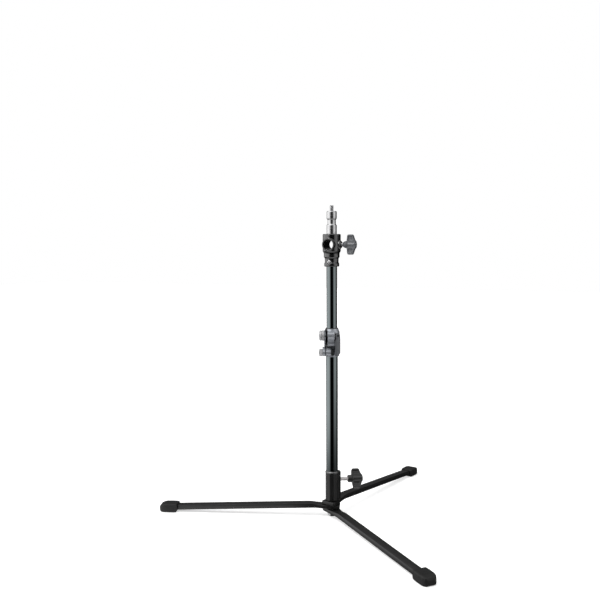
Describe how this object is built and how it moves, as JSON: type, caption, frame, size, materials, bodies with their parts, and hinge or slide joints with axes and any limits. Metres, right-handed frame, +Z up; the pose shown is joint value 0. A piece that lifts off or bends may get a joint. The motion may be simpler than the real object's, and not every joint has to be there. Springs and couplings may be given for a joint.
{
  "type": "light stand",
  "caption": "Low folding floor stand with flat legs, a telescopic column with a flip-lever lock, and a clamping head with a spigot.",
  "frame": {"origin": "on the floor, under the middle of the three spread legs' bounding box", "axes": "+Z up along the column, out of the spigot's tip; -Y out of the cross socket's mouth; +X along the head's clamp screw, towards its knob"},
  "size_m": [0.4891, 0.4738, 0.5],
  "materials": {
    "black_anodised": "satin black anodised tube",
    "black_casting": "satin black powder-coated die casting",
    "black_steel": "satin black powder-coated flat steel",
    "moulded_black": "fine-grained black moulded nylon",
    "rubber": "matt black moulded rubber",
    "zinc_steel": "bright zinc-plated steel",
    "grey_nylon": "plain grey nylon"
  },
  "bodies": {
    "base": {"base_socket": "black_casting", "leg_top": "black_steel", "foot_top": "rubber", "hub_bolt": "zinc_steel", "upper_washer": "grey_nylon", "lower_washer": "grey_nylon"},
    "middle_leg": {"leg_middle": "black_steel", "foot_middle": "rubber"},
    "bottom_leg": {"leg_bottom": "black_steel", "foot_bottom": "rubber"},
    "base_clamp_screw": {"base_screw": "zinc_steel"},
    "base_clamp_knob": {"base_knob": "moulded_black"},
    "lower_column": {"lower_tube": "black_anodised", "tube_cap": "moulded_black", "lock_collar": "black_casting", "lock_bushing": "moulded_black", "lock_bolt": "black_steel", "lock_nut": "zinc_steel", "cam_washer": "black_steel", "pinch_bolt": "black_steel", "pinch_nut": "zinc_steel"},
    "lever": {"lock_lever": "moulded_black", "lever_pin": "black_steel"},
    "glide": {"glide_plug": "grey_nylon"},
    "upper_column": {"upper_tube": "black_anodised", "head_casting": "black_casting", "head_set_screw": "zinc_steel", "stud": "zinc_steel"},
    "head_clamp_screw": {"head_screw": "zinc_steel"},
    "head_clamp_knob": {"head_knob": "moulded_black"}
  },
  "joints": [
    {"name": "middle_leg_fold", "type": "hinge", "parent": "base", "child": "middle_leg", "pos_m": [0.0271, -0.04321, 0.0168], "axis": [0, 0, 1], "range_deg": [-92, 0]},
    {"name": "bottom_leg_fold", "type": "hinge", "parent": "base", "child": "bottom_leg", "pos_m": [0.0271, -0.04321, 0.0102], "axis": [0, 0, 1], "range_deg": [0, 92]},
    {"name": "column_lift", "type": "slide", "parent": "base", "child": "lower_column", "axis": [0, 0, 1], "range_m": [0, 0.036]},
    {"name": "base_knob_turn", "type": "hinge", "parent": "base_clamp_screw", "child": "base_clamp_knob", "pos_m": [0.0489, -0.02959, 0.0598], "axis": [0.848, 0.5299, 0], "range_deg": [0, 900]},
    {"name": "base_screw_travel", "type": "slide", "parent": "base", "child": "base_clamp_screw", "axis": [0.848, 0.5299, 0], "range_m": [0, 0.0026]},
    {"name": "lever_flip", "type": "hinge", "parent": "lower_column", "child": "lever", "pos_m": [0.04215, -0.05512, 0.2958], "axis": [0.4067, -0.9135, 0], "range_deg": [0, 105]},
    {"name": "column_extension", "type": "slide", "parent": "lower_column", "child": "glide", "axis": [0, 0, 1], "range_m": [-0.095, 0.1]},
    {"name": "column_turn", "type": "hinge", "parent": "glide", "child": "upper_column", "pos_m": [0.0271, -0.04321, 0.29], "axis": [0, 0, 1], "continuous": true},
    {"name": "head_knob_turn", "type": "hinge", "parent": "head_clamp_screw", "child": "head_clamp_knob", "pos_m": [0.0467, -0.04321, 0.4383], "axis": [1, 0, 0], "range_deg": [-720, 1440]},
    {"name": "head_screw_travel", "type": "slide", "parent": "upper_column", "child": "head_clamp_screw", "axis": [1, 0, 0], "range_m": [-0.0021, 0.0041]}
  ],
  "couplings": [
    {"joint": "base_screw_travel", "follows": "base_knob_turn", "m_per_rad": 0.00015915},
    {"joint": "head_screw_travel", "follows": "head_knob_turn", "m_per_rad": 0.00015915}
  ]
}
